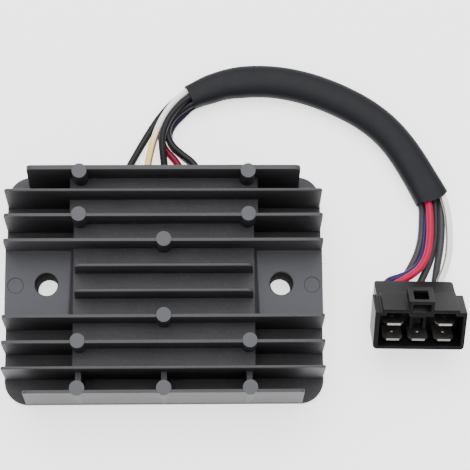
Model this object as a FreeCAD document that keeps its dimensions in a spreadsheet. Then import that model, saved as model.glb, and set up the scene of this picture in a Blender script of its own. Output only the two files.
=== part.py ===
"""Voltage regulator rectifier: a finned die casting with a potted circuit, a harness and its connector.

All lengths are in millimetres. The casting lies on its back: X runs along the fins, Y from the last fin to
the first, where the wires leave, and Z from the mounting face up to the fin tips. The origin is on the
mounting face, at the middle of the casting. Every size is a named cell of the sheet.
"""
import FreeCAD, Part
import Sketcher
import math
import os
from FreeCAD import Placement, Rotation, Vector

document = FreeCAD.newDocument("regulator_rectifier")

# Driving dimensions

SIZES = [
    # the base flange and its raised forms
    ("base_length", 102.0, "base flange along the fins"),
    ("base_width", 74.4, "base flange across the fins"),
    ("base_corner", 7.5, "radius of the flange's corners"),
    ("floor_height", 2.5, "flange thickness, the floor of the outer troughs"),
    ("block_length", 57.4, "raised centre block along the fins, at its top"),
    ("block_height", 14.8, "top of the centre block above the mounting face"),
    ("shoulder_step", 1.4, "how much the block is wider at each end on the wire side"),
    ("wall_draft", 2.0, "draft of the block's and the ears' walls, degrees"),
    # fins
    ("tip_height", 25.0, "fin tips above the mounting face"),
    ("flange_margin", 1.2, "flange's width left over at each side by nine pitches of the fins"),
    ("fin_set_in", 1.0, "long fins' ends at their tips, inside the flange's"),
    ("fin_tip", 0.95, "thickness of a fin at its tip"),
    ("tip_lean", 0.3, "fin's tip out of its foot's middle, away from the wires"),
    ("fin_foot", 2.65, "thickness of a fin at the mounting face"),
    ("short_fin_set_in", 0.9, "ends of the two fins between the ears, inside the block's"),
    ("end_fin_set_in", 7.8, "ends of the first and last fin at their tips, inside the flange's"),
    ("first_fin_tip", 1.45, "thickness of the first fin at its tip"),
    ("last_fin_tip", 1.0, "thickness of the last fin at its tip"),
    ("end_fin_foot", 3.0, "thickness of the first and last fin at the mounting face"),
    ("end_fin_inset", 0.7, "distance from the flange's edge to an end fin's foot"),
    ("tip_round", 2.0, "radius at the upper corners of the short and first fins"),
    ("fin_round", 1.5, "radius at the upper corners of the other fins"),
    ("fin_end_slope", 0.95, "how much further out a fin's foot reaches at each end"),
    # bosses and ribs
    ("boss_tip", 2.35, "radius of an ejector boss at its top"),
    ("boss_foot", 2.6, "radius of an ejector boss at the mounting face"),
    ("boss_proud", 0.15, "boss tops above the fin tips"),
    ("boss_set_in", 2.1, "middles of the outer bosses inside the block's ends"),
    ("boss_inset", 1.1, "bosses of the end fins, inwards from the fin"),
    ("rib_width", 1.9, "ribs behind the last fin's bosses"),
    ("rib_height", 19.0, "top of those ribs above the mounting face"),
    # ears and bolt holes
    ("ear_height", 11.6, "ear top above the mounting face"),
    ("ear_root_far", 0.7, "sloping wall beside the block, width at the wire side"),
    ("ear_root_near", 1.7, "sloping wall beside the block, width at the other side"),
    ("ear_root_depth", 1.0, "how far the sloping wall reaches into the block and the ear"),
    ("mark_radius", 2.45, "round ejector mark on an ear"),
    ("mark_depth", 0.15, "depth of an ejector mark"),
    ("mark_set_in", 3.8, "middle of an ejector mark inside the flange's end"),
    ("mark_aside", 0.35, "middle of an ejector mark, away from the wires"),
    ("hole_spacing", 74.8, "bolt holes, centre to centre"),
    ("hole_radius", 3.4, "bolt hole"),
    ("hole_lead", 3.8, "radius of the hole's mouth"),
    ("lead_depth", 1.6, "depth of the hole's tapered mouth"),
    # recess, notch and what they hold
    ("recess_wall", 2.3, "wall between the recess and the block's three outer sides"),
    ("recess_wire_wall", 4.7, "wall between the recess and the block's side at the wires"),
    ("recess_depth", 12.0, "recess in the back"),
    ("recess_corner", 3.0, "radius of the recess's corners"),
    ("notch_length", 33.0, "wire notch along the fins"),
    ("notch_height", 7.2, "wire notch above the mounting face"),
    ("resin_set_back", 0.4, "resin below the mounting face"),
    ("resin_set_in", 2.8, "resin's face in the notch, inside the flange's edge"),
    ("pad_thickness", 0.6, "insulating sheet under the power parts"),
    ("pad_margin", 1.4, "insulating sheet inside the recess's walls"),
    ("board_thickness", 1.6, "circuit board"),
    ("board_margin", 2.6, "circuit board inside the recess's walls"),
    ("power_length", 10.4, "power part along the fins"),
    ("power_width", 12.0, "power part across the fins"),
    ("power_height", 4.4, "power part"),
    ("power_spread", 0.2955, "outer power parts from the middle, as a share of the recess's length"),
    ("power_row", 0.2, "rows of power parts from the middle, as a share of the recess's width"),
    ("leg_height", 1.6, "legs between a power part and the board"),
    ("leg_width", 1.1, "leg of a power part"),
    ("leg_pitch", 2.7, "legs of one power part"),
    ("control_height", 2.2, "small parts on the board's open side"),
    # harness
    ("wire_radius", 1.2, "insulated wire"),
    ("sleeve_wide", 5.6, "sleeve, half its width"),
    ("sleeve_high", 3.5, "sleeve, half its height"),
    ("sleeve_corner", 2.6, "sleeve, radius at its sides"),
    ("sleeve_wall", 0.45, "sleeve wall"),
    # connector
    ("plug_length", 20.2, "connector from its rear to its mouth"),
    ("plug_rear_width", 25.4, "rear part of the connector across"),
    ("plug_rear_height", 12.0, "rear part of the connector"),
    ("plug_rear_aside", 0.3, "middle of the rear part to the left of the terminals'"),
    ("plug_rear_round", 1.0, "radius of the rear part's upright corners"),
    ("chamber_depth", 9.0, "chambers of the crimp barrels along the axis"),
    ("shroud_start", 9.4, "where the shroud begins along the axis"),
    ("shroud_width", 24.0, "shroud across, without its side keys"),
    ("shroud_rise", 1.7, "shroud's top above the rear part's"),
    ("shroud_drop", 0.9, "shroud's underside below the rear part's"),
    ("key_span", 28.8, "shroud across, over its side keys"),
    ("key_top", 12.75, "top of the side keys above the rear part's underside"),
    ("key_round", 1.3, "radius of the side keys' lower corners"),
    ("groove_width", 0.5, "grooves along the left key's top"),
    ("groove_depth", 0.35, "grooves along the left key's top"),
    ("groove_set_in", 1.25, "wider groove inside the left key's outer face"),
    ("left_wall", 1.5, "shroud's wall at the left"),
    ("plug_wall", 1.2, "shroud's other walls"),
    ("socket_depth", 9.7, "depth of the socket"),
    ("latch_width", 7.9, "latch tunnel across"),
    ("latch_height", 3.1, "latch tunnel above the shroud"),
    ("latch_length", 8.8, "latch tunnel along the axis"),
    ("latch_wall", 1.1, "walls of the latch tunnel"),
    ("latch_floor", 0.8, "tunnel's floor below the shroud's top"),
    ("latch_keel", 1.1, "thicker wall under the tunnel"),
    ("window_width", 4.6, "window in the tunnel's top, across"),
    ("window_length", 5.0, "window in the tunnel's top, along the axis"),
    ("window_start", 13.5, "window's rear edge along the axis"),
    ("pillar_width", 5.4, "pillar between the blades"),
    ("pillar_foot", 3.0, "pillar's lower side above the rear part's underside"),
    ("pillar_end", 14.5, "pillar's end along the axis"),
    ("slot_width", 3.0, "slot in the pillar's end"),
    ("slot_height", 4.0, "slot in the pillar's end"),
    ("slot_depth", 3.0, "slot in the pillar's end"),
    ("column_pitch", 8.1, "terminals across"),
    ("row_low", 1.75, "lower blades above the rear part's underside"),
    ("row_high", 7.5, "upper blades above the rear part's underside"),
    ("blade_width", 6.3, "terminal blade"),
    ("blade_thickness", 0.8, "terminal blade"),
    ("blade_recess", 1.5, "blade tips inside the mouth"),
    ("blade_root", 1.0, "blade's start inside its barrel"),
    ("tip_taper", 1.6, "length of the blade's tapered tip"),
    ("tip_chamfer", 1.1, "how much narrower the tip is at each side"),
    ("dimple_radius", 0.85, "locking dimple in a blade"),
    ("dimple_depth", 0.35, "locking dimple in a blade"),
    ("dimple_place", 3.7, "locking dimple from the blade's tip"),
    ("blade_clearance", 0.05, "blade in its slot, all round"),
    ("barrel_width", 5.9, "crimp barrel of a terminal"),
    ("barrel_height", 2.7, "crimp barrel of a terminal"),
    ("barrel_clearance", 0.2, "barrel in its chamber, all round"),
    ("barrel_set_in", 2.0, "barrel inside the connector's rear"),
    ("wire_rise", 0.9, "wire's middle above the blade's"),
    ("twin_offset", 1.25, "two wires in one barrel, each from its middle"),
    ("plug_across", 80.15, "connector's rear along the fins, from the middle"),
    ("plug_along", -7.8, "connector's rear edge across the fins, from the middle"),
    ("plug_lift", 1.2, "connector's rear edge above the mounting face"),
    ("plug_pitch", 48.0, "connector's axis above the level, degrees"),
    ("plug_yaw", -1.0, "connector turned about the upright, degrees"),
]

sheet = document.addObject("Spreadsheet::Sheet", "sizes")
for line, (alias, value, meaning) in enumerate(SIZES, start=1):
    sheet.set(f"A{line}", meaning)
    sheet.set(f"B{line}", str(value))
    sheet.setAlias(f"B{line}", alias)
document.recompute()


def size(alias):
    return float(sheet.get(alias))


def bind(item, **cells):
    """Tie properties of an object to the sheet. An underscore in a name stands for a dot."""
    for name, text in cells.items():
        item.setExpression(name.replace("_", "."), text)
    return item


def place(item, x="0", y="0", z="0"):
    return bind(item, Placement_Base_x=x, Placement_Base_y=y, Placement_Base_z=z)


def add(kind, label):
    item = document.addObject(kind, label)
    item.Label = label
    return item


def box(label, length, width, height, x, y, z):
    """A block whose size and lowest corner are formulas on the sheet."""
    item = bind(add("Part::Box", label), Length=length, Width=width, Height=height)
    return place(item, x, y, z)


def fused(label, pieces):
    item = add("Part::MultiFuse", label)
    item.Shapes = pieces
    item.Refine = True
    return item


def cut(label, base, tools):
    item = add("Part::Cut", label)
    item.Base = base
    item.Tool = tools[0] if len(tools) == 1 else fused(label + "_tools", tools)
    return item


def rounded(base, alias, chosen):
    """Round those edges of a piece that the test picks, with the sheet's radius of that name."""
    document.recompute()
    item = add("Part::Fillet", base.Label + "_rounded")
    item.Base = base
    numbers = [number for number, edge in enumerate(base.Shape.Edges, start=1) if chosen(edge.BoundBox)]
    item.Edges = [(number, size(alias), size(alias)) for number in numbers]
    return item


def drafted_wall(label, top_length, foot_length, top_width, foot_width, height,
                 x="0", y="0", z="0", lean="0"):
    """A wall with draft on all four sides. Its top may lean out of the foot's middle, towards -Y."""
    item = add("Part::Wedge", label)
    bind(
        item,
        Xmin=f"-({foot_length}) / 2", Xmax=f"({foot_length}) / 2",
        X2min=f"-({top_length}) / 2", X2max=f"({top_length}) / 2",
        Zmin=f"-({foot_width}) / 2", Zmax=f"({foot_width}) / 2",
        Z2min=f"{lean} - ({top_width}) / 2", Z2max=f"{lean} + ({top_width}) / 2",
        Ymin="0", Ymax=height,
    )
    item.Placement = Placement(Vector(), Rotation(Vector(1, 0, 0), 90))
    return place(item, x, y, z)


def body_plane(body, role):
    return next(plane for plane in body.Origin.OriginFeatures if plane.Role == role)


def rounded_plate(label, length, width, corner, height, x="0", y="0", z="0"):
    """A plate with rounded corners: a padded sketch in a body of its own."""
    body = add("PartDesign::Body", label)
    sketch = body.newObject("Sketcher::SketchObject", label + "_outline")
    sketch.AttachmentSupport = (body_plane(body, "XY_Plane"), [""])
    sketch.MapMode = "FlatFace"
    half_x, half_y, radius = 20.0, 15.0, 2.0
    corners = [(1, -1, -90), (1, 1, 0), (-1, 1, 90), (-1, -1, 180)]
    for index, (side_x, side_y, start) in enumerate(corners):
        before = corners[index - 1]
        middle = Vector(side_x * (half_x - radius), side_y * (half_y - radius), 0)
        last = Vector(before[0] * (half_x - radius), before[1] * (half_y - radius), 0)
        out = Vector(math.cos(math.radians(start)), math.sin(math.radians(start)), 0) * radius
        sketch.addGeometry(Part.LineSegment(last + out, middle + out), False)
        arc = Part.ArcOfCircle(Part.Circle(middle, Vector(0, 0, 1), radius),
                               math.radians(start), math.radians(start + 90))
        sketch.addGeometry(arc, False)
    for index in range(4):
        straight, round_end, following = 2 * index, 2 * index + 1, (2 * index + 2) % 8
        sketch.addConstraint(Sketcher.Constraint("Tangent", straight, 2, round_end, 1))
        sketch.addConstraint(Sketcher.Constraint("Tangent", round_end, 2, following, 1))
        sketch.addConstraint(Sketcher.Constraint("Vertical" if index % 2 else "Horizontal", straight))
    for index in (3, 5, 7):
        sketch.addConstraint(Sketcher.Constraint("Equal", 1, index))
    sketch.addConstraint(Sketcher.Constraint("Symmetric", 3, 3, 7, 3, -1, 1))
    across, along = 2 * (half_x - radius), 2 * (half_y - radius)
    named = [("span_x", Sketcher.Constraint("DistanceX", 7, 3, 3, 3, across), f"{length} - 2 * ({corner})"),
             ("span_y", Sketcher.Constraint("DistanceY", 7, 3, 3, 3, along), f"{width} - 2 * ({corner})"),
             ("corner", Sketcher.Constraint("Radius", 1, radius), corner)]
    for name, constraint, text in named:
        sketch.renameConstraint(sketch.addConstraint(constraint), name)
        sketch.setExpression("Constraints." + name, text)
    pad = body.newObject("PartDesign::Pad", label + "_pad")
    pad.Profile = sketch
    bind(pad, Length=height)
    body.Tip = pad
    return place(body, x, y, z)


# The casting

DRAFT = "tan(sizes.wall_draft * 1deg)"
LAST_FIN = 9
SHORT_FINS = (4, 5)
PITCH = "((sizes.base_width - 2 * sizes.flange_margin) / 9)"
pitch = (size("base_width") - 2 * size("flange_margin")) / LAST_FIN


def fin_y(index):
    """Formula for the middle of a fin, counted from the wire side."""
    if index == 0:
        return "(sizes.base_width / 2 - sizes.end_fin_inset - sizes.end_fin_foot / 2)"
    if index == LAST_FIN:
        return "-(sizes.base_width / 2 - sizes.end_fin_foot / 2)"
    return f"({(LAST_FIN / 2 - index)} * {PITCH})"


def fin(index):
    label = f"fin_{index + 1}"
    length, tip, foot = "sizes.base_length - 2 * sizes.fin_set_in", "sizes.fin_tip", "sizes.fin_foot"
    lean, corner = "sizes.tip_lean", "fin_round"
    if index in (0, LAST_FIN):
        length, foot, lean = "sizes.base_length - 2 * sizes.end_fin_set_in", "sizes.end_fin_foot", "0"
        tip = "sizes.last_fin_tip" if index else "sizes.first_fin_tip"
    if index in SHORT_FINS:
        length = "sizes.block_length - 2 * sizes.short_fin_set_in"
    if index == 0 or index in SHORT_FINS:
        corner = "tip_round"
    wall = drafted_wall(label, length, f"{length} + 2 * sizes.fin_end_slope", tip, foot,
                        "sizes.tip_height", y=fin_y(index), lean=lean)
    return rounded(wall, corner, lambda box: box.ZMin > size("tip_height") - 0.01 and box.XLength < 0.01)


def boss(number, x, y):
    item = add("Part::Cone", f"boss_{number}")
    bind(item, Radius1="sizes.boss_foot", Radius2="sizes.boss_tip",
         Height="sizes.tip_height + sizes.boss_proud")
    return place(item, x, y)


def ear(side):
    """A mounting ear between the fourth and the seventh fin, with its sloping wall up to the centre block."""
    label = "ear_left" if side < 0 else "ear_right"
    half_gap = f"1.5 * {PITCH}"
    foot = f"{label}_pad"
    inner = "sizes.block_length / 2 - sizes.ear_root_near"
    outer = f"(sizes.base_length / 2 - sizes.ear_height * {DRAFT})"
    pad = add("Part::Wedge", foot)
    bind(pad, Xmin=inner, Xmax="sizes.base_length / 2", X2min=inner, X2max=outer,
         Zmin=f"-{half_gap}", Zmax=half_gap, Z2min=f"-{half_gap}", Z2max=half_gap,
         Ymin="0", Ymax="sizes.ear_height")
    turn = Rotation(Vector(1, 0, 0), 90)
    pad.Placement = Placement(Vector(), turn if side > 0 else Rotation(Vector(0, 0, 1), 180) * turn)
    block_x, top, low, gap = size("block_length") / 2, size("block_height"), size("ear_height"), 1.5 * pitch
    depth = size("ear_root_depth")

    def corner(y, width):
        points = [Vector(side * (block_x - depth), y, top), Vector(side * block_x, y, top),
                  Vector(side * (block_x + width), y, low), Vector(side * (block_x + width), y, low - depth),
                  Vector(side * (block_x - depth), y, low - depth)]
        return Part.makePolygon(points + points[:1])

    slope = add("Part::Feature", label + "_slope")
    near_end, far_end = corner(-gap, size("ear_root_near")), corner(gap, size("ear_root_far"))
    slope.Shape = Part.makeLoft([near_end, far_end], True, True)
    return [pad, slope]


block = drafted_wall(
    "centre_block", "sizes.block_length", f"sizes.block_length + 2 * sizes.block_height * {DRAFT}",
    f"8 * {PITCH}", f"8 * {PITCH}", "sizes.block_height", y=f"0.5 * {PITCH}")
SHOULDER = "(sizes.block_length + 2 * sizes.shoulder_step)"
shoulder = drafted_wall(
    "block_shoulder", SHOULDER, f"{SHOULDER} + 2 * sizes.block_height * {DRAFT}",
    f"2 * {PITCH}", f"2 * {PITCH}", "sizes.block_height", y=f"3.5 * {PITCH}")
base_plate = rounded_plate("base_plate", "sizes.base_length", "sizes.base_width", "sizes.base_corner",
                           "sizes.floor_height")

LEFT = "-(sizes.block_length / 2 - sizes.boss_set_in)"
RIGHT = "(sizes.block_length / 2 - sizes.boss_set_in)"
first_boss_y, last_boss_y = f"{fin_y(0)} - sizes.boss_inset", f"{fin_y(LAST_FIN)} + sizes.boss_inset"
boss_places = [(LEFT, first_boss_y), (RIGHT, first_boss_y), (LEFT, fin_y(2)), (RIGHT, fin_y(2)),
               ("0", fin_y(3)), ("0", fin_y(6)), (LEFT, fin_y(7)), (RIGHT, fin_y(7)),
               (LEFT, last_boss_y), ("0", last_boss_y), (RIGHT, last_boss_y)]
solids = [base_plate, block, shoulder] + [fin(index) for index in range(LAST_FIN + 1)] + ear(-1) + ear(1)
solids += [boss(number, x, y) for number, (x, y) in enumerate(boss_places, start=1)]
for number, x in enumerate((LEFT, "0", RIGHT), start=1):
    reach = f"({fin_y(LAST_FIN - 1)}) - ({last_boss_y})"
    solids.append(box(f"rib_{number}", "sizes.rib_width", reach, "sizes.rib_height",
                      f"{x} - sizes.rib_width / 2", last_boss_y, "0"))

hole_tools = []
for name, side in (("left", "-1"), ("right", "1")):
    x = f"{side} * sizes.hole_spacing / 2"
    bore = bind(add("Part::Cylinder", f"bore_{name}"), Radius="sizes.hole_radius",
                Height="sizes.ear_height + 2")
    mouth = bind(add("Part::Cone", f"bore_mouth_{name}"), Radius1="sizes.hole_radius",
                 Radius2="sizes.hole_lead", Height="sizes.lead_depth")
    hole_tools += [place(bore, x, "0", "-1"), place(mouth, x, "0", "sizes.ear_height - sizes.lead_depth")]
    above = bind(add("Part::Cylinder", f"bore_above_{name}"), Radius="sizes.hole_lead", Height="2")
    hole_tools.append(place(above, x, "0", "sizes.ear_height"))
    mark = bind(add("Part::Cylinder", f"ejector_mark_{name}"), Radius="sizes.mark_radius", Height="2")
    hole_tools.append(place(mark, f"{side} * (sizes.base_length / 2 - sizes.mark_set_in)",
                            "-sizes.mark_aside", "sizes.ear_height - sizes.mark_depth"))

RECESS_LENGTH = "(sizes.block_length - 2 * sizes.recess_wall)"
RECESS_WIDTH = f"(8 * {PITCH} - sizes.recess_wall - sizes.recess_wire_wall)"
RECESS_MIDDLE = f"(0.5 * {PITCH} + (sizes.recess_wall - sizes.recess_wire_wall) / 2)"
RECESS_END = f"({RECESS_MIDDLE} + {RECESS_WIDTH} / 2)"
recess = rounded_plate("recess", RECESS_LENGTH, RECESS_WIDTH, "sizes.recess_corner", "sizes.recess_depth + 1",
                       y=RECESS_MIDDLE, z="-1")
notch = box("wire_notch", "sizes.notch_length", f"sizes.base_width / 2 + 2 - {RECESS_END}",
            "sizes.notch_height + 1", "-sizes.notch_length / 2", f"{RECESS_END} - 1", "-1")
heatsink_housing = cut("heatsink_housing", fused("casting", solids), hole_tools + [recess, notch])

# The circuit under the resin

BOARD_TOP = "(sizes.recess_depth - sizes.pad_thickness - sizes.power_height - sizes.leg_height)"


def layer(label, margin, thickness, z):
    """A flat rectangle in the recess, smaller than it by a margin all round."""
    return box(label, f"{RECESS_LENGTH} - 2 * {margin}", f"{RECESS_WIDTH} - 2 * {margin}", thickness,
               f"{margin} - {RECESS_LENGTH} / 2", f"{RECESS_MIDDLE} + {margin} - {RECESS_WIDTH} / 2", z)


insulating_sheet = layer("insulating_sheet", "sizes.pad_margin", "sizes.pad_thickness",
                         "sizes.recess_depth - sizes.pad_thickness")
circuit_board = layer("circuit_board", "sizes.board_margin", "sizes.board_thickness",
                      f"{BOARD_TOP} - sizes.board_thickness")


def power_part(label, column, row):
    """A flat package on the insulating sheet, with three legs down to the board."""
    x = f"({column} * sizes.power_spread * {RECESS_LENGTH})"
    y = f"({RECESS_MIDDLE} + {row} * sizes.power_row * {RECESS_WIDTH})"
    pieces = [box(label + "_package", "sizes.power_length", "sizes.power_width", "sizes.power_height",
                  f"{x} - sizes.power_length / 2", f"{y} - sizes.power_width / 2",
                  f"{BOARD_TOP} + sizes.leg_height")]
    for leg in (-1, 0, 1):
        leg_x = f"{x} + {leg} * sizes.leg_pitch - sizes.leg_width / 2"
        pieces.append(box(f"{label}_leg_{leg + 2}", "sizes.leg_width", "sizes.leg_width", "sizes.leg_height",
                          leg_x, f"{y} - sizes.leg_width / 2", BOARD_TOP))
    return fused(label, pieces)


inner_parts = [insulating_sheet, circuit_board]
for column in (-1, 0, 1):
    inner_parts.append(power_part(f"thyristor_{column + 2}", column, -1))
    inner_parts.append(power_part(f"rectifier_diode_{column + 2}", column, 1))

# name, length, width, then the place as shares of the recess's length and width from its middle
CONTROL_PARTS = [("control_transistor", 5.0, 4.0, -0.265, 0.105), ("storage_capacitor", 6.0, 5.0, 0.0, 0.158),
                 ("zener_diode", 4.6, 2.4, 0.246, 0.105), ("sense_resistor", 6.4, 3.2, -0.17, -0.193),
                 ("gate_resistor", 6.4, 3.2, 0.17, -0.193)]
for label, length, width, along, across in CONTROL_PARTS:
    inner_parts.append(box(label, str(length), str(width), "sizes.control_height",
                           f"{along} * {RECESS_LENGTH} - {length / 2}",
                           f"{RECESS_MIDDLE} + {across} * {RECESS_WIDTH} - {width / 2}",
                           f"{BOARD_TOP} - sizes.board_thickness - sizes.control_height"))

resin = rounded_plate("resin", RECESS_LENGTH, RECESS_WIDTH, "sizes.recess_corner",
                      "sizes.recess_depth - sizes.resin_set_back", y=RECESS_MIDDLE, z="sizes.resin_set_back")
resin_tongue = box("resin_tongue", "sizes.notch_length",
                   f"sizes.base_width / 2 - sizes.resin_set_in - {RECESS_END} + 1",
                   "sizes.notch_height - sizes.resin_set_back",
                   "-sizes.notch_length / 2", f"{RECESS_END} - 1", "sizes.resin_set_back")
potting_compound = cut("potting_compound", fused("resin_fill", [resin, resin_tongue]), inner_parts)

# The connector, drawn upright with its rear on the XY plane: X across, Y up, Z towards the mouth

TERMINALS = [("terminal_upper_left", -1, "row_high"), ("terminal_upper_right", 1, "row_high"),
             ("terminal_lower_left", -1, "row_low"), ("terminal_lower_middle", 0, "row_low"),
             ("terminal_lower_right", 1, "row_low")]
SOCKET_FLOOR = "(sizes.plug_length - sizes.socket_depth)"
SHROUD_TOP = "(sizes.plug_rear_height + sizes.shroud_rise)"
SHROUD_LENGTH = "(sizes.plug_length - sizes.shroud_start)"
LATCH_START = "(sizes.plug_length - sizes.latch_length)"
TUNNEL_FLOOR = f"({SHROUD_TOP} - sizes.latch_floor)"

plug_turn = Rotation(Vector(0, 0, 1), size("plug_yaw")) * Rotation(Vector(1, 0, 0), 90 - size("plug_pitch"))
plug_place = Placement(Vector(size("plug_across"), size("plug_along"), size("plug_lift")), plug_turn)

plug_rear = box("plug_rear", "sizes.plug_rear_width", "sizes.plug_rear_height", "sizes.shroud_start + 1",
                "-sizes.plug_rear_width / 2 - sizes.plug_rear_aside", "0", "0")
plug_keys = box("plug_keys", "sizes.key_span", "sizes.key_top + sizes.shroud_drop", SHROUD_LENGTH,
                "-sizes.key_span / 2", "-sizes.shroud_drop", "sizes.shroud_start")
plug_shroud = box("plug_shroud", "sizes.shroud_width", f"{SHROUD_TOP} + sizes.shroud_drop", SHROUD_LENGTH,
                  "-sizes.shroud_width / 2", "-sizes.shroud_drop", "sizes.shroud_start")
latch_tunnel = box("latch_tunnel", "sizes.latch_width", "sizes.latch_height + 1", "sizes.latch_length",
                   "-sizes.latch_width / 2", f"{SHROUD_TOP} - 1", LATCH_START)


def upright_at_rear(box):
    return box.XLength < 0.01 and box.ZLength < 0.01 and box.ZMax < 0.01


def along_underside(box):
    return box.XLength < 0.01 and box.YLength < 0.01 and box.YMax < 0


plug_outside = fused("plug_outside", [rounded(plug_rear, "plug_rear_round", upright_at_rear),
                                      rounded(plug_keys, "key_round", along_underside),
                                      plug_shroud, latch_tunnel])
socket_tools = [
    box("socket_low", "sizes.key_span - sizes.left_wall - sizes.plug_wall",
        "sizes.key_top + sizes.shroud_drop - 2 * sizes.plug_wall", "sizes.socket_depth + 1",
        "-sizes.key_span / 2 + sizes.left_wall", "-sizes.shroud_drop + sizes.plug_wall", SOCKET_FLOOR),
    box("socket_high", "sizes.shroud_width - 2 * sizes.plug_wall",
        f"{SHROUD_TOP} + sizes.shroud_drop - 2 * sizes.plug_wall", "sizes.socket_depth + 1",
        "-sizes.shroud_width / 2 + sizes.plug_wall", "-sizes.shroud_drop + sizes.plug_wall", SOCKET_FLOOR),
]
hollow_shell = cut("plug_shell", plug_outside, socket_tools)
latch_keel = box("latch_keel", "sizes.latch_width", "sizes.latch_keel", "sizes.socket_depth",
                 "-sizes.latch_width / 2", f"{SHROUD_TOP} - sizes.plug_wall - sizes.latch_keel", SOCKET_FLOOR)
latch_pillar = box("latch_pillar", "sizes.pillar_width",
                   f"{SHROUD_TOP} - sizes.plug_wall - sizes.pillar_foot", f"sizes.pillar_end - {SOCKET_FLOOR}",
                   "-sizes.pillar_width / 2", "sizes.pillar_foot", SOCKET_FLOOR)
plug_tools = [
    box("latch_channel", "sizes.latch_width - 2 * sizes.latch_wall",
        "sizes.latch_height + sizes.latch_floor - sizes.latch_wall", "sizes.latch_length",
        "-sizes.latch_width / 2 + sizes.latch_wall", TUNNEL_FLOOR, f"{LATCH_START} + sizes.latch_wall"),
    box("latch_window", "sizes.window_width", "sizes.latch_height + 1", "sizes.window_length",
        "-sizes.window_width / 2", f"{TUNNEL_FLOOR} + 1", "sizes.window_start"),
    box("pillar_slot", "sizes.slot_width", "sizes.slot_height", "sizes.slot_depth + 1",
        "-sizes.slot_width / 2", "sizes.pillar_foot", "sizes.pillar_end - sizes.slot_depth"),
    box("key_groove", "sizes.groove_width", "2", "sizes.plug_length",
        "-sizes.key_span / 2 + sizes.groove_set_in", "sizes.key_top - sizes.groove_depth",
        "sizes.shroud_start - 1"),
    box("key_line", "sizes.groove_width / 2", "2", "sizes.plug_length",
        "-sizes.key_span / 2 + sizes.groove_width", "sizes.key_top - sizes.groove_depth / 2",
        "sizes.shroud_start - 1"),
]
for label, column, row in TERMINALS:
    x = f"({column} * sizes.column_pitch)"
    blade = f"sizes.{row}"
    clear = "sizes.barrel_clearance"
    plug_tools.append(box(label + "_chamber", f"sizes.barrel_width + 2 * {clear}",
                          f"sizes.barrel_height + 2 * {clear}", "sizes.chamber_depth + 1",
                          f"{x} - sizes.barrel_width / 2 - {clear}",
                          f"{blade} - sizes.blade_thickness / 2 - {clear}", "-1"))
    plug_tools.append(box(label + "_slot", "sizes.blade_width + 2 * sizes.blade_clearance",
                          "sizes.blade_thickness + 2 * sizes.blade_clearance", "sizes.plug_length",
                          f"{x} - sizes.blade_width / 2 - sizes.blade_clearance",
                          f"{blade} - sizes.blade_thickness / 2 - sizes.blade_clearance",
                          "sizes.chamber_depth - sizes.blade_root"))
plug_body = fused("plug_body", [hollow_shell, latch_keel, latch_pillar])
connector_housing = cut("connector_housing", plug_body, plug_tools)
connector_housing.Placement = plug_place


def terminal(label, column, row):
    """A crimp barrel and a flat blade with a tapered tip, and a dimple that locks its receptacle."""
    x = f"({column} * sizes.column_pitch)"
    blade_y = f"sizes.{row} - sizes.blade_thickness / 2"
    taper_start = "(sizes.plug_length - sizes.blade_recess - sizes.tip_taper)"
    barrel = box(label + "_barrel", "sizes.barrel_width", "sizes.barrel_height",
                 "sizes.chamber_depth - sizes.barrel_set_in", f"{x} - sizes.barrel_width / 2", blade_y,
                 "sizes.barrel_set_in")
    blade = box(label + "_blade", "sizes.blade_width", "sizes.blade_thickness",
                f"{taper_start} - sizes.chamber_depth + sizes.blade_root",
                f"{x} - sizes.blade_width / 2", blade_y, "sizes.chamber_depth - sizes.blade_root")
    tip = drafted_wall(label + "_tip", "sizes.blade_width - 2 * sizes.tip_chamfer", "sizes.blade_width",
                       "sizes.blade_thickness", "sizes.blade_thickness", "sizes.tip_taper", x, f"sizes.{row}",
                       taper_start)
    dimple = bind(add("Part::Cone", label + "_dimple"), Radius1="sizes.dimple_radius / 2",
                  Radius2="sizes.dimple_radius", Height="sizes.dimple_depth")
    dimple.Placement = Placement(Vector(), Rotation(Vector(1, 0, 0), -90))
    place(dimple, x, f"sizes.{row} + sizes.blade_thickness / 2 - sizes.dimple_depth",
          "sizes.plug_length - sizes.blade_recess - sizes.dimple_place")
    item = cut(label, fused(label + "_blank", [barrel, blade, tip]), [dimple])
    item.Placement = plug_place
    return item


terminals = [terminal(*row) for row in TERMINALS]


def at_plug(across, up, along):
    """A place given in the connector's own directions."""
    return plug_place.multVec(Vector(across, up, along))


# The harness: points of the sleeve, and for each wire its points before, inside and after the sleeve

SLEEVE_POINTS = [(8.4, 64.1), (16.6, 68.0), (26.3, 69.8), (37.2, 69.7), (48.0, 67.3),
                 (58.2, 63.2), (67.6, 57.9), (75.4, 50.9), (82.2, 40.6), (87.8, 29.6)]
SLEEVE_LEVEL = 3.7

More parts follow.
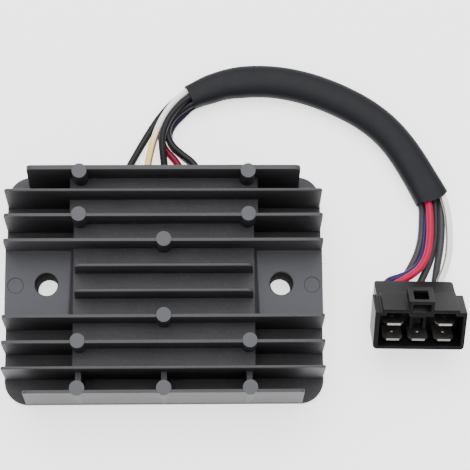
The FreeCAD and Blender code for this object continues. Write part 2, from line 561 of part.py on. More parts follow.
# Inside the sleeve: how far to the left of the way along it, and up. The last line names the terminal's
# column and row, the wire's side in a shared barrel, and how far its last bend is behind the rear
WIRES = {
    "wire_white": dict(
        before=[(-5.9, 34.4, 3.5), (-5.9, 38.4, 3.5), (-4.8, 44.8, 3.8), (-3.1, 51.2, 4.1),
                (-0.5, 57.2, 4.1), (3.1, 62.4, 4.3)],
        inside=[(2.2, 0.7), (3.2, 1.2), (3.66, 1.3), (3.66, 1.3), (3.66, 1.3), (3.66, 1.3),
                (3.66, 1.3), (3.66, 1.3), (3.66, 1.35), (3.55, 1.6)],
        after=[(92.5, 25.4, 5.15), (93.0, 19.2, 4.8), (92.9, 13.0, 4.6), (91.6, 6.6, 4.5)],
        hole=(1, "row_high", 0, 2.5)),
    "wire_black_1": dict(
        before=[(-12.7, 34.4, 3.4), (-12.7, 38.4, 3.4), (-9.2, 45.2, 2.4), (-5.6, 51.8, 1.7),
                (-1.7, 58.0, 1.6), (2.8, 63.1, 1.7)],
        inside=[(2.4, -1.8), (3.2, -1.5), (3.66, -1.3), (3.66, -1.3), (3.66, -1.3), (3.66, -1.3),
                (3.66, -1.3), (3.66, -1.3), (3.7, -1.3), (3.8, -1.25)],
        after=[(90.85, 24.8, 3.15), (90.75, 18.8, 3.15), (90.1, 12.8, 3.0), (88.9, 7.0, 2.4),
               (88.0, 1.2, 1.6)],
        hole=(1, "row_low", 0, 2.0)),
    "wire_black_2": dict(
        before=[(0.3, 34.4, 3.8), (0.3, 38.4, 3.8), (-0.5, 44.4, 5.0), (-0.9, 50.6, 5.8),
                (1.2, 56.3, 6.0), (4.7, 60.9, 6.0)],
        inside=[(0.0, 1.7), (0.0, 1.45), (-1.23, 0.71), (-1.23, -0.71), (0.0, -1.42), (1.0, -1.42),
                (1.15, -1.42), (1.2, -1.45), (1.25, -1.5), (1.5, -1.5)],
        after=[(89.3, 24.3, 1.35), (89.2, 18.2, 1.3), (88.0, 12.3, 1.3), (86.0, 7.0, 1.3),
               (83.2, 1.6, 1.3)],
        hole=(0, "row_low", 0, 2.0)),
    "wire_red": dict(
        before=[(6.0, 34.4, 3.3), (6.0, 38.4, 3.3), (3.6, 42.9, 2.9), (-0.4, 47.2, 2.0),
                (-1.4, 52.2, 1.4), (0.8, 57.0, 1.3), (4.5, 60.9, 1.6)],
        inside=[(0.0, -1.2), (0.0, -1.4), (1.23, -0.71), (1.23, 0.71), (0.0, 1.42), (1.0, 1.42),
                (1.24, 1.42), (0.3, 1.3), (-0.8, 1.2), (-1.4, 1.2)],
        after=[(86.85, 22.6, 5.4), (86.6, 16.4, 5.5), (85.6, 10.6, 5.7), (82.9, 5.7, 6.0),
               (78.2, 2.4, 6.0)],
        hole=(-1, "row_high", 1, 2.8)),
    "wire_black_3": dict(
        before=[(11.4, 34.4, 4.4), (11.4, 38.4, 4.4), (9.3, 41.9, 4.3), (5.9, 44.5, 4.1),
                (2.4, 47.6, 3.9), (0.65, 51.8, 3.65), (1.75, 55.9, 3.55), (4.95, 59.3, 3.7)],
        inside=[(-2.2, 0.7), (-3.2, 1.2), (-3.65, 1.3), (-3.65, 1.3), (-3.5, 1.35), (-2.6, 1.4),
                (-3.2, 0.3), (-3.5, -0.6), (-3.6, -1.2), (-3.3, -1.4)],
        after=[(84.7, 22.2, 1.3), (84.2, 16.4, 1.3), (82.5, 10.8, 1.3), (79.8, 6.0, 1.3),
               (76.5, 0.8, 1.3)],
        hole=(-1, "row_low", 0, 2.0)),
    "wire_blue": dict(
        before=[(11.4, 34.4, 1.9), (11.4, 38.4, 1.9), (9.3, 41.9, 1.8), (5.6, 44.9, 1.6),
                (2.2, 48.1, 1.4), (1.2, 52.0, 1.3), (2.95, 55.65, 1.3), (6.15, 58.8, 1.4)],
        inside=[(-2.3, -1.8), (-3.2, -1.5), (-3.65, -1.3), (-3.65, -1.3), (-3.5, -1.35), (-2.6, -1.4),
                (-1.3, -1.45), (-1.25, -1.5), (-1.2, -1.5), (-0.9, -1.5)],
        after=[(86.35, 22.6, 3.05), (85.9, 16.8, 3.05), (84.9, 11.2, 3.2), (82.3, 6.3, 3.65),
               (77.6, 3.6, 3.9)],
        hole=(-1, "row_high", -1, 5.1)),
}


def beside(points, index, aside, up):
    """The sleeve's point with that number, moved to its left by one amount and up by another."""
    here = Vector(*points[index], 0)
    before = here - Vector(*points[max(index - 1, 0)], 0)
    after = Vector(*points[min(index + 1, len(points) - 1)], 0) - here
    along = [way.normalize() for way in (before, after) if way.Length > 0]
    mean = (along[0] + along[-1]).normalize()
    reach = aside / mean.dot(along[0])
    return Vector(here.x - mean.y * reach, here.y + mean.x * reach, SLEEVE_LEVEL + up)


def wire_points(name):
    wire = WIRES[name]
    points = [Vector(*point) for point in wire["before"]]
    points += [beside(SLEEVE_POINTS, index, *offset) for index, offset in enumerate(wire["inside"])]
    points += [Vector(*point) for point in wire["after"]]
    column, row, twin, reach = wire["hole"]
    across = column * size("column_pitch") + twin * size("twin_offset")
    up = size(row) + size("wire_rise")
    points += [at_plug(across, up, -reach), at_plug(across, up, size("barrel_set_in"))]
    return points


def route(name, points):
    """Straight runs joined by tangent arcs, each as large as its two runs allow."""
    edges, radii, start = [], [], points[0]
    for before, corner, after in zip(points, points[1:], points[2:]):
        back, ahead = before - corner, after - corner
        turn = math.pi - back.getAngle(ahead)
        reach = 0.45 * min(back.Length, ahead.Length)
        radii.append(reach / math.tan(turn / 2))
        back.normalize()
        ahead.normalize()
        first, last = corner + back * reach, corner + ahead * reach
        inward = (back + ahead).normalize()
        middle = corner + inward * (radii[-1] / math.cos(turn / 2) - radii[-1])
        edges += [Part.LineSegment(start, first).toShape(), Part.Arc(first, middle, last).toShape()]
        start = last
    edges.append(Part.LineSegment(start, points[-1]).toShape())
    path = Part.Wire(edges)
    print(f"{name}: length {path.Length:.1f}, radii {min(radii):.1f} to {max(radii):.0f}")
    return path


def tube(path, section):
    """A closed section carried along a path that starts square to it."""
    swept = path.makePipeShell([section], True, False)
    expected = Part.Face(section).Area * path.Length
    if abs(swept.Volume / expected - 1) > 0.03:
        print(f"  swept volume {swept.Volume:.1f}, section times length {expected:.1f}")
    return swept


wires = []
for name in WIRES:
    points = wire_points(name)
    path = route(name, points)
    ring = Part.Wire(Part.makeCircle(size("wire_radius"), points[0], points[1] - points[0]))
    wire = add("Part::Feature", name)
    wire.Shape = tube(path, ring)
    wires.append(wire)


def sleeve_section(half_width, half_height, corner, start, ahead):
    """A flattened round across the sleeve's start, its sides arcs and its top and bottom flat."""
    across = Vector(-ahead.y, ahead.x, 0).normalize()
    up = Vector(0, 0, 1)

    def at(x, y):
        return start + across * x + up * y

    edges = []
    slant = corner * (1 - math.sqrt(0.5))
    for side_x, side_y in ((1, 1), (-1, 1), (-1, -1), (1, -1)):
        first = at(side_x * (half_width - corner), side_y * half_height)
        bulge = at(side_x * (half_width - slant), side_y * (half_height - slant))
        last = at(side_x * half_width, side_y * (half_height - corner))
        edges.append(Part.Arc(first, bulge, last).toShape())
    flat = half_width - corner
    edges.append(Part.LineSegment(at(-flat, half_height), at(flat, half_height)).toShape())
    edges.append(Part.LineSegment(at(-flat, -half_height), at(flat, -half_height)).toShape())
    if half_height - corner > 0.01:
        for side in (1, -1):
            edges.append(Part.LineSegment(at(side * half_width, corner - half_height),
                                          at(side * half_width, half_height - corner)).toShape())
    return Part.Wire(Part.__sortEdges__(edges))


sleeve_line = [Vector(*point, SLEEVE_LEVEL) for point in SLEEVE_POINTS]
sleeve_path = route("harness_sleeve", sleeve_line)
outside = sleeve_section(size("sleeve_wide"), size("sleeve_high"), size("sleeve_corner"), sleeve_line[0],
                         sleeve_line[1] - sleeve_line[0])
wall = size("sleeve_wall")
inside = sleeve_section(size("sleeve_wide") - wall, size("sleeve_high") - wall, size("sleeve_corner") - wall,
                        sleeve_line[0], sleeve_line[1] - sleeve_line[0])
harness_sleeve = add("Part::Feature", "harness_sleeve")
harness_sleeve.Shape = tube(sleeve_path, outside).cut(tube(sleeve_path, inside))

# Check every object, then write one file for each piece

document.recompute()
for item in document.Objects:
    if "Invalid" in item.State or "Error" in item.State:
        raise RuntimeError(f"{item.Label} did not build: {item.State}")

pieces = [heatsink_housing, potting_compound, *inner_parts, *wires, harness_sleeve]
pieces += [connector_housing, *terminals]
os.makedirs("parts", exist_ok=True)
for piece in pieces:
    if piece.Shape.isNull() or not piece.Shape.isValid() or piece.Shape.Volume <= 0:
        raise RuntimeError(f"{piece.Label} has no valid shape")
    piece.Shape.exportStep(f"parts/{piece.Label}.step")
    print(f"{piece.Label}: {len(piece.Shape.Solids)} solid, volume {piece.Shape.Volume:.1f}")
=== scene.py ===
# %% [markdown]
# # A regulator rectifier, dressed for its portrait
# The real object is a charging-system part: one dark aluminium casting with cooling fins, a circuit set in
# resin behind it, six wires in a soft black sleeve, and a moulded connector with five metal blades. The
# imported model already holds every piece at its real size. This notebook gives each of them its surface, so
# the work is mostly edges, wires and finishes. We load the model first. Nothing may grow past it.

# %% Load the imported model
import math

import bmesh
import bpy
from mathutils import Matrix, Vector
from mathutils.geometry import intersect_line_line_2d, intersect_point_line
from mathutils.kdtree import KDTree


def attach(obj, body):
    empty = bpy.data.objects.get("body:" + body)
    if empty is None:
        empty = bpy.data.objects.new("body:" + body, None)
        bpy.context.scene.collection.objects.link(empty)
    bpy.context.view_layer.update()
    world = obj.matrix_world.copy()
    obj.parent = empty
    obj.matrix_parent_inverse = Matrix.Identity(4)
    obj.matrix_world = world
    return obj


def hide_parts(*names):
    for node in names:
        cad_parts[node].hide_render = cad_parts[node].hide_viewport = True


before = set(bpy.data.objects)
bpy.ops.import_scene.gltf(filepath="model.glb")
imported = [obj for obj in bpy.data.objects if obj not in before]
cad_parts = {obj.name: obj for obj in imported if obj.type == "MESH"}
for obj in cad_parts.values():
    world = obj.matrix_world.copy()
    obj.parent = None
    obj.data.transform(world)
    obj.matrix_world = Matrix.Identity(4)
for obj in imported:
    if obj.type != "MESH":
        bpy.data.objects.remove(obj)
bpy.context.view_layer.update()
MM = 0.001
print("pieces in the frame:", len(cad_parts))

# %% [markdown]
# ## The camera
# The picture was taken with a long lens from almost straight above, a little from the side of the last fin.
# The camera's place was worked out from the fins, the bolt holes and the flange, whose real sizes are
# known. A lens of 123 mm on a sensor 36 mm wide gives the same mild perspective.

# %% Place the camera
CAMERA_PLACE = Vector((6.36, -91.43, 516.06)) * MM
CAMERA_TURN = (0.2098, -0.0304, -0.0093)

camera_data = bpy.data.cameras.new("portrait_camera")
camera_data.lens = 123.15
camera_data.sensor_width = 36.0
camera_data.clip_start, camera_data.clip_end = 0.05, 20.0
camera = bpy.data.objects.new("portrait_camera", camera_data)
bpy.context.scene.collection.objects.link(camera)
camera.location = CAMERA_PLACE
camera.rotation_euler = CAMERA_TURN
bpy.context.scene.camera = camera
print("camera height in mm:", round(CAMERA_PLACE.z / MM))

# %% [markdown]
# ## Floor and light
# The part lies on plain white card under very soft studio light. A large lamp overhead, a little behind the
# part, gives the even light. A weak one low on the near side brightens the faces that look towards the
# viewer, and a weaker one on the left reaches the ends of the fins. All are far larger than the part, so no
# shadow has a hard edge.
#
# The pale world fills the shadows. The ground of the picture is plain white, which no lamp gives without
# bleaching the part as well, so the card glows a little by itself, as a light table does.

# %% Helpers for objects
def only(*pieces):
    """Leave edit mode, select these objects alone and make the first one active."""
    if bpy.context.object and bpy.context.object.mode != "OBJECT":
        bpy.ops.object.mode_set(mode="OBJECT")
    bpy.ops.object.select_all(action="DESELECT")
    for piece in pieces:
        piece.select_set(True)
    bpy.context.view_layer.objects.active = pieces[0]
    return pieces[0]


# %% Make the floor and the lamps
bpy.ops.object.select_all(action="DESELECT")
bpy.ops.mesh.primitive_plane_add(size=6.0, location=(0, 0, -0.00005))
floor = bpy.context.object
floor.name = "floor"

LAMPS = {
    # name: (place in metres, what it points at, side of the lamp, watts)
    "key_lamp": ((-0.05, 0.66, 1.55), (0.02, 0.0, 0.0), 1.5, 35.0),
    "near_lamp": ((0.2, -1.6, 0.5), (0.02, 0.0, 0.01), 0.8, 1.1),
    "left_lamp": ((-1.4, 0.0, 0.6), (0.02, 0.0, 0.01), 0.7, 0.4),
}
for name, (place, target, side, power) in LAMPS.items():
    data = bpy.data.lights.new(name, "AREA")
    data.energy, data.size = power, side
    lamp = bpy.data.objects.new(name, data)
    bpy.context.scene.collection.objects.link(lamp)
    lamp.location = place
    lamp.rotation_euler = (Vector(target) - Vector(place)).to_track_quat("-Z", "Y").to_euler()

ZENITH, HORIZON, ZENITH_FROM = 1.1, 0.55, 0.75
world = bpy.data.worlds.new("studio")
bpy.context.scene.world = world
world.use_nodes = True
sky = world.node_tree
up = sky.nodes.new("ShaderNodeSeparateXYZ")
fall = sky.nodes.new("ShaderNodeMapRange")
place_in_sky = sky.nodes.new("ShaderNodeTexCoord")
fall.inputs["From Min"].default_value, fall.inputs["From Max"].default_value = 0.0, ZENITH_FROM
fall.inputs["To Min"].default_value, fall.inputs["To Max"].default_value = HORIZON, ZENITH
sky.links.new(place_in_sky.outputs["Generated"], up.inputs[0])
sky.links.new(up.outputs["Z"], fall.inputs["Value"])
sky.links.new(fall.outputs["Result"], sky.nodes["Background"].inputs["Strength"])
sky.nodes["Background"].inputs["Color"].default_value = (1.0, 1.0, 1.0, 1.0)
print("lamps:", ", ".join(LAMPS))

# %% [markdown]
# ## Shader maths as plain sums
# A finish is easiest to read when it is written as a formula. The small class below wraps one output of a
# node and overloads the usual operators, so that 1 - mask * 0.3 adds its Math nodes by itself. Every other
# node comes from one method, which sets the node's own settings first and then its sockets. Places are read
# from Object coordinates, so masks can be given in the part's own millimetres.

# %% The node helper
class Output:
    """One output of a node, which can be used in sums."""

    def __init__(self, finish, socket):
        self.finish, self.socket = finish, socket

    def maths(self, operation, first, second):
        return self.finish.add("ShaderNodeMath", {"operation": operation}, {0: first, 1: second})

    def __add__(self, other):
        return self.maths("ADD", self, other)

    def __sub__(self, other):
        return self.maths("SUBTRACT", self, other)

    def __mul__(self, other):
        return self.maths("MULTIPLY", self, other)

    def __rsub__(self, other):
        return self.maths("SUBTRACT", other, self)

    def __abs__(self):
        return self.maths("ABSOLUTE", self, 0.0)

    def above(self, limit):
        return self.maths("GREATER_THAN", self, limit)

    def below(self, limit):
        return self.maths("LESS_THAN", self, limit)

    __radd__ = __add__
    __rmul__ = __mul__


class Finish:
    """A material under construction."""

    def __init__(self, name):
        self.material = bpy.data.materials.new(name)
        self.material.use_nodes = True
        self.tree = self.material.node_tree
        self.tree.nodes.clear()
        self.position = self.add("ShaderNodeTexCoord", out="Object")

    def add(self, kind, settings=None, inputs=None, out=0):
        node = self.tree.nodes.new(kind)
        for name, value in (settings or {}).items():
            if name == "stops":
                ramp = node.color_ramp
                while len(ramp.elements) < len(value):
                    ramp.elements.new(1.0)
                for stop, (place, shade) in zip(ramp.elements, value):
                    stop.position = place
                    stop.color = (shade, shade, shade, 1) if isinstance(shade, float) else (*shade, 1)
            else:
                setattr(node, name, value)
        for name, value in (inputs or {}).items():
            socket = node.inputs[name]
            if isinstance(value, Output):
                self.tree.links.new(value.socket, socket)
            else:
                socket.default_value = value
        return Output(self, node.outputs[out])

    def axis(self, index):
        """How far along X, Y or Z a point is, in metres."""
        return self.add("ShaderNodeSeparateXYZ", None, {0: self.position}, out=index)

    def ring(self, x, y, inner, outer):
        """1 where the distance from the middle is between two radii in millimetres."""
        squared = x * x + y * y
        reach = self.add("ShaderNodeMath", {"operation": "SQRT"}, {0: squared})
        return reach.above(inner * MM) * reach.below(outer * MM)

    def rise(self, value, start, end):
        """0 up to where a value is at the start, and 1 from where it is at the end, both in millimetres."""
        return self.add("ShaderNodeMapRange", None,
                        {"Value": value, "From Min": start * MM, "From Max": end * MM})

    def noise(self, scale, detail=2.0, roughness=0.5, stretch=None):
        """Soft noise from 0 to 1, with that many waves to the metre."""
        place = self.position
        if stretch:
            place = self.add("ShaderNodeMapping", None, {"Vector": place, "Scale": stretch})
        return self.add("ShaderNodeTexNoise", None,
                        {"Vector": place, "Scale": scale, "Detail": detail, "Roughness": roughness})

    def ramp(self, value, *stops):
        return self.add("ShaderNodeValToRGB", {"stops": stops}, {0: value})

    def mix(self, share, first, second):
        """A colour between two others."""
        first, second = [c if isinstance(c, Output) else (*c, 1) for c in (first, second)]
        return self.add("ShaderNodeMix", {"data_type": "RGBA"}, {0: share, 6: first, 7: second}, out=2)

    def bump(self, height, depth, strength=1.0, below=None):
        """A surface normal from a height, for relief of that depth in metres."""
        inputs = {"Height": height, "Distance": depth, "Strength": strength}
        if below:
            inputs["Normal"] = below
        return self.add("ShaderNodeBump", None, inputs)

    def surface(self, **sockets):
        """The closing shader. A socket's name is written with underscores."""
        named = {name.replace("_", " "): value for name, value in sockets.items()}
        named = {name: (*value, 1) if isinstance(value, tuple) and len(value) == 3 else value
                 for name, value in named.items()}
        shader = self.add("ShaderNodeBsdfPrincipled", None, named)
        end = self.tree.nodes.new("ShaderNodeOutputMaterial")
        self.tree.links.new(shader.socket, end.inputs["Surface"])
        return self.material


def dress(piece, material):
    """Give a piece one material."""
    piece.data.materials.clear()
    piece.data.materials.append(material)
    return piece


# %% Card for the floor
CARD_GLOW = 1.5
card = Finish("white_card")
dress(floor, card.surface(Base_Color=(0.92, 0.92, 0.92), Roughness=0.9, Emission_Color=(1.0, 1.0, 1.0),
                          Emission_Strength=CARD_GLOW))
print("floor dressed in", floor.active_material.name)

# %% [markdown]
# ## Carried-over pieces
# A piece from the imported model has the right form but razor-sharp edges, which no casting or moulding has.
# So a copy is made, its loose triangles are merged into flat faces, and a narrow bevel is run along every
# sharp edge. Light then catches each edge as it does on the real piece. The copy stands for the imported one,
# which stays hidden.
#
# Blender's own clamp would shrink every bevel to what the shortest edge of the piece allows. So it is off,
# and each edge gets a bevel weight of its own, from the room on the two faces beside it. Where one edge
# runs on into the next, both take the lesser weight, because a bevel that changes its width there throws
# out a spike. What still folds or strays is found afterwards, the edges near it are narrowed, and the bevel
# is made again. Weighted normals keep the large faces flat between the rounded edges.

# %% Weigh the edges
SHARP, ROOM_SHARE = math.radians(28), 0.45
STRAIGHT_ON = 0.8


def is_sharp(edge):
    return len(edge.link_faces) == 2 and edge.calc_face_angle(0.0) > SHARP


def nearest(point, edge):
    """The point of an edge that is nearest to a given one."""
    first, second = edge.verts[0].co, edge.verts[1].co
    spot, share = intersect_point_line(point, first, second)
    return first if share <= 0 else second if share >= 1 else spot


def room_across(edge):
    """The least distance, straight across its two faces, to their other edges."""
    room = 1.0
    for loop in edge.link_loops:
        along = (loop.link_loop_next.vert.co - loop.vert.co).normalized()
        inward = loop.face.normal.cross(along)
        for other in loop.face.edges:
            if set(other.verts) & set(edge.verts):
                continue
            pairs = [(vert.co, nearest(vert.co, other)) for vert in edge.verts]
            pairs += [(nearest(vert.co, edge), vert.co) for vert in other.verts]
            for here, there in pairs:
                gap = there - here
                across = gap.dot(inward)
                if across > 0 and abs(gap.dot(along)) <= across:
                    room = min(room, across)
    return room


def runs_on(sharp):
    """The pairs of sharp edges that run on into one another."""
    chosen, pairs = set(sharp), []
    for edge in sharp:
        for vert in edge.verts:
            for other in vert.link_edges:
                if other in chosen and other.index > edge.index:
                    ways = [(side.other_vert(vert).co - vert.co).normalized() for side in (edge, other)]
                    if ways[0].dot(ways[1]) < -STRAIGHT_ON:
                        pairs.append((edge, other))
    return pairs


def even_out(pairs, weight):
    """Give edges that run on into one another the least weight among them."""
    changed = True
    while changed:
        changed = False
        for first, second in pairs:
            if first[weight] != second[weight]:
                first[weight] = second[weight] = min(first[weight], second[weight])
                changed = True


# %% Find what a bevel has spoilt
BOX_SLACK = 0.001


def crossings(data):
    """Where the border of a face crosses itself."""
    found = []
    for face in data.polygons:
        if len(face.vertices) < 5:
            continue
        flat = sorted(range(3), key=lambda axis: abs(face.normal[axis]))[:2]
        corners = [data.vertices[index].co for index in face.vertices]
        spots = [Vector((corner[flat[0]], corner[flat[1]])) for corner in corners]
        sides = list(zip(spots, spots[1:] + spots[:1]))
        for first in range(len(sides) - 2):
            for second in range(first + 2, len(sides) - (first == 0)):
                if intersect_line_line_2d(*sides[first], *sides[second]):
                    found += [corners[first], corners[second]]
    return found


def strays(data, plain, reach):
    """The corners from which a point was thrown further than that, or out of the piece's own box."""
    places = [sorted(corner.co[axis] for corner in plain.verts) for axis in range(3)]
    low = [side[0] - BOX_SLACK * MM for side in places]
    high = [side[-1] + BOX_SLACK * MM for side in places]
    tree = KDTree(len(plain.verts))
    for index, corner in enumerate(plain.verts):
        tree.insert(corner.co, index)
    tree.balance()
    found = []
    for vertex in data.vertices:
        corner, _, gap = tree.find(vertex.co)
        if gap > reach or not all(a <= place <= b for a, place, b in zip(low, vertex.co, high)):
            found.append(corner.copy())
    return found


# %% Copy a piece and soften its edges
FLAT, SMOOTH = math.radians(0.6), math.radians(35)
TRIES, NEAR_FOLD, NARROWER, FURTHEST = 9, 0.7, 0.4, 2.0


def softened(node, radius, wanted=None, merge=0.002):
    """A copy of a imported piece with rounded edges, standing in its place. Sizes are in millimetres."""
    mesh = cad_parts[node].data.copy()
    piece = bpy.data.objects.new(node + "_finished", mesh)
    bpy.context.scene.collection.objects.link(piece)
    only(piece)
    bpy.ops.mesh.customdata_custom_splitnormals_clear()
    bpy.ops.object.mode_set(mode="EDIT")
    bpy.ops.mesh.select_all(action="SELECT")
    bpy.ops.mesh.remove_doubles(threshold=merge * MM)
    bpy.ops.mesh.dissolve_limited(angle_limit=FLAT)
    bpy.ops.object.mode_set(mode="OBJECT")
    plain = bmesh.new()
    plain.from_mesh(piece.data)
    weight = plain.edges.layers.float.new("bevel_weight_edge")
    sharp = [edge for edge in plain.edges if is_sharp(edge)]
    for edge in sharp:
        most = wanted(edge) if wanted else radius
        edge[weight] = min(most, ROOM_SHARE * room_across(edge) / MM) / radius
    pairs = runs_on(sharp)
    for attempt in range(TRIES):
        even_out(pairs, weight)
        plain.to_mesh(piece.data)
        bevel = piece.modifiers.new("soft_edges", "BEVEL")
        bevel.width, bevel.segments = radius * MM, 2
        bevel.limit_method, bevel.use_clamp_overlap = "WEIGHT", False
        bpy.ops.object.modifier_apply(modifier=bevel.name)
        spoilt = crossings(piece.data) + strays(piece.data, plain, FURTHEST * radius * MM)
        if not spoilt:
            break
        for edge in sharp:
            if any((nearest(spot, edge) - spot).length < NEAR_FOLD * MM for spot in spoilt):
                edge[weight] *= NARROWER
    plain.free()
    bpy.ops.object.shade_smooth_by_angle(angle=SMOOTH)
    flatter = piece.modifiers.new("flat_faces", "WEIGHTED_NORMAL")
    flatter.keep_sharp = True
    bpy.ops.object.modifier_apply(modifier=flatter.name)
    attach(piece, "root")
    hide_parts(node)
    print(piece.name, "faces:", len(piece.data.polygons), "tries:", attempt + 1, "spoilt:", len(spoilt))
    return piece


# %% [markdown]
# ## The casting
# The real housing is cast aluminium under a thin dark coating. It has a fine grain from the mould, cloudy
# patches where the coating is thicker, and darker streaks along the fins where the casting was drawn out of
# its mould. The tips of the fins, the ears and the tops of the ejector bosses are painted lighter and bluer,
# a painted highlight where the light from above falls on them, and the bores get painted shade, nearly black.
# Each of these is a mask in millimetres, mixed in turn.

# %% Finish of the casting
ROOT_RADIUS, EDGE_RADIUS, KEEN_RADIUS = 0.8, 0.35, 0.03
FLOOR_HEIGHT, RECESS_HEIGHT, EAR_HEIGHT, TIP_HEIGHT = 2.5, 12.0, 11.6, 25.0
EAR_FROM, EAR_REACH, EAR_BAND = 29.5, 12.2, (11.0, 12.2)
BOSS_ABOVE_TIP, HIGHLIGHT_BELOW_TIP, BORE_BELOW_EAR = 0.06, 0.4, 0.5
MARK_PLACE, MARK_SIZE, MARK_LINE = Vector((47.2, -0.35, EAR_HEIGHT)), 2.45, (2.33, 2.65)
HOLE_ACROSS, HOLE_SIZE = 37.4, 3.6
THICK_COAT, THIN_COAT = (0.041, 0.0402, 0.0442), (0.0545, 0.0535, 0.0585)
STREAK, SPECK = (0.028, 0.0276, 0.031), (0.085, 0.084, 0.092)


def casting_finish():
    coat = Finish("dark_cast_aluminium")
    grain = coat.noise(2600.0, 3.0, 0.6)
    clouds = coat.noise(55.0, 3.0, 0.55)
    specks = coat.noise(900.0, 2.0, 0.5)
    drag = coat.noise(420.0, 3.0, 0.6, stretch=(0.12, 1.0, 1.0))
    along, across, height = [coat.axis(index) for index in range(3)]
    side = abs(along)
    # Painted highlight: the flat tops of the ears are painted lighter and bluer, where the light from above
    # falls.
    ears = side.above(EAR_FROM * MM) * abs(across).below(EAR_REACH * MM)
    ears = ears * height.above(EAR_BAND[0] * MM) * height.below(EAR_BAND[1] * MM)
    # Painted highlight: the tops of the ejector bosses are painted lighter, where the light from above falls.
    bosses = height.above((TIP_HEIGHT + BOSS_ABOVE_TIP) * MM)
    # Painted highlight: the tops of the fins are painted lighter, where the light from above falls on them.
    tip_highlight = height.above((TIP_HEIGHT - HIGHLIGHT_BELOW_TIP) * MM)
    mark = coat.ring(side - MARK_PLACE.x * MM, across - MARK_PLACE.y * MM, *MARK_LINE) * ears
    # Painted shade: the bores are painted nearly black, where little light gets into them.
    bore = coat.ring(side - HOLE_ACROSS * MM, across, 0.0, HOLE_SIZE)
    bore = bore * height.below((EAR_HEIGHT - BORE_BELOW_EAR) * MM)
    shade = coat.ramp(clouds, (0.3, THICK_COAT), (0.7, THIN_COAT))
    shade = coat.mix(coat.ramp(drag, (0.35, 0.35), (0.6, 0.0)), shade, STREAK)
    shade = coat.mix(coat.ramp(specks, (0.55, 0.0), (0.75, 0.28)), shade, SPECK)
    # Ears, fin tips and boss tops carry painted highlight, the ejector mark is a dark line, the bore painted
    # shade.
    for mask, share, colour in [
        (ears, 0.75, (0.066, 0.0675, 0.078)),
        (tip_highlight, 0.5, (0.07, 0.0695, 0.076)),
        (bosses, 0.85, (0.083, 0.084, 0.094)),
        (mark, 0.7, (0.02, 0.02, 0.024)),
        (bore, 0.9, (0.006, 0.006, 0.007)),
    ]:
        shade = coat.mix(mask * share, shade, colour)
    normal = coat.bump(grain, 0.00003, 0.5)
    normal = coat.bump(drag, 0.00008, 0.35, normal)
    normal = coat.bump(clouds, 0.0002, 0.3, normal)
    return coat.surface(Base_Color=shade, Metallic=0.1 - bore * 0.1,
                        Roughness=0.44 + grain * 0.16 + bore * 0.45, Specular_IOR_Level=0.25, Normal=normal)


# %% Edges of the casting
RECESS_HALF, WALL_HALF, ROOT_RUN = 27.0, 36.0, 8.0


def casting_radius(edge):
    """Wide where a fin rises out of a face, narrow at other edges, and hardly any where nobody looks."""
    low, high = sorted(vert.co.z / MM for vert in edge.verts)
    middle = (edge.verts[0].co + edge.verts[1].co) / 2 / MM
    run = (edge.verts[1].co - edge.verts[0].co) / MM
    from_mark = (Vector((abs(middle.x), middle.y, EAR_HEIGHT)) - MARK_PLACE).length
    slack = 0.1
    in_recess = abs(middle.x) < RECESS_HALF and low < RECESS_HEIGHT + slack and abs(middle.y) < WALL_HALF
    round_mark = from_mark < MARK_SIZE + slack and high < EAR_HEIGHT + slack
    if in_recess or round_mark or high < FLOOR_HEIGHT + slack:
        return KEEN_RADIUS
    return ROOT_RADIUS if not edge.is_convex and abs(run.x) > ROOT_RUN else EDGE_RADIUS


casting = softened("heatsink_housing", ROOT_RADIUS, casting_radius, merge=0.07)
dress(casting, casting_finish())
print("casting dressed in", casting.active_material.name)

# %% [markdown]
# ## Resin and what lies in it
# The back of the casting is filled with black epoxy, which levels itself and sets with a soft gloss. It
# needs little: a rounded rim, a slow ripple in its level, and dust that was stirred into it.

# %% Finish of the resin
RIM_RADIUS, RIM_HEIGHT = 0.25, 1.0


def resin_radius(edge):
    """Only the resin's free face, at the back, has a rim that shows."""
    return RIM_RADIUS if max(vert.co.z for vert in edge.verts) < RIM_HEIGHT * MM else KEEN_RADIUS


def resin_finish():
    resin = Finish("black_epoxy")
    ripple = resin.noise(120.0, 2.0, 0.5)
    dust = resin.noise(3000.0, 1.0, 0.5)
    normal = resin.bump(ripple, 0.0006, 0.4)
    return resin.surface(Base_Color=(0.012, 0.012, 0.013), Roughness=0.16 + dust * 0.12, Coat_Weight=0.3,
                         Normal=normal)


resin_block = softened("potting_compound", RIM_RADIUS, resin_radius)
dress(resin_block, resin_finish())
print("resin dressed in", resin_block.active_material.name)

# %% [markdown]
# ## Wires
# Each wire is one length of copper in extruded plastic, 2.4 mm thick. A wire never has a corner, so its
# centreline is a smooth NURBS curve drawn through listed points: the ones before the sleeve, the ones
# inside it, and the ones after it, down to its terminal. Inside the sleeve a wire keeps a place beside the
# sleeve's own line. A curve with a round bevel is enough for a wire, and it keeps its UV map along and
# around, which the tracer on the white one needs.

# %% Routes
SLEEVE_POINTS = [(8.4, 64.1), (16.6, 68.0), (26.3, 69.8), (37.2, 69.7), (48.0, 67.3),
                 (58.2, 63.2), (67.6, 57.9), (75.4, 50.9), (82.2, 40.6), (87.8, 29.6)]
SLEEVE_LEVEL = 3.7

